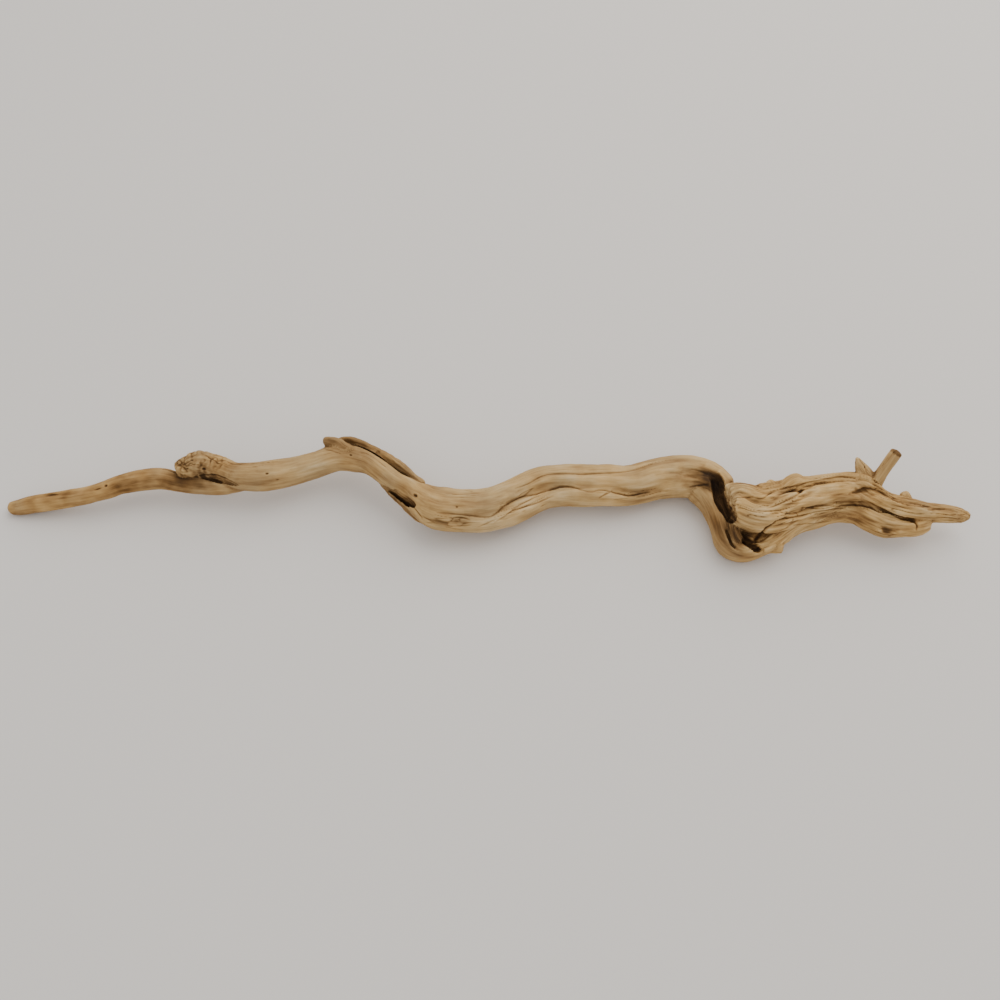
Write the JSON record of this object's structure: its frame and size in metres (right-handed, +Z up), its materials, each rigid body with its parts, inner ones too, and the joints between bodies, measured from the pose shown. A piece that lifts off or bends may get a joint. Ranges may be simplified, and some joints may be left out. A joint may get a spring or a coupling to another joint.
{
  "type": "piece of driftwood",
  "caption": "Long crooked piece of weathered driftwood with a thin tail, a curled fold round a deep hollow and a fissured head with broken stubs.",
  "frame": {"origin": "middle of the footprint, on the surface that it lies on", "axes": "+X from the tail's tip towards the head's tip, +Y towards the back, +Z up as it lies"},
  "size_m": [0.7714, 0.1019, 0.0595],
  "materials": {
    "wood": "bare, weathered smooth, with dark cracks"
  },
  "bodies": {
    "root": {"driftwood": "wood"}
  },
  "joints": []
}
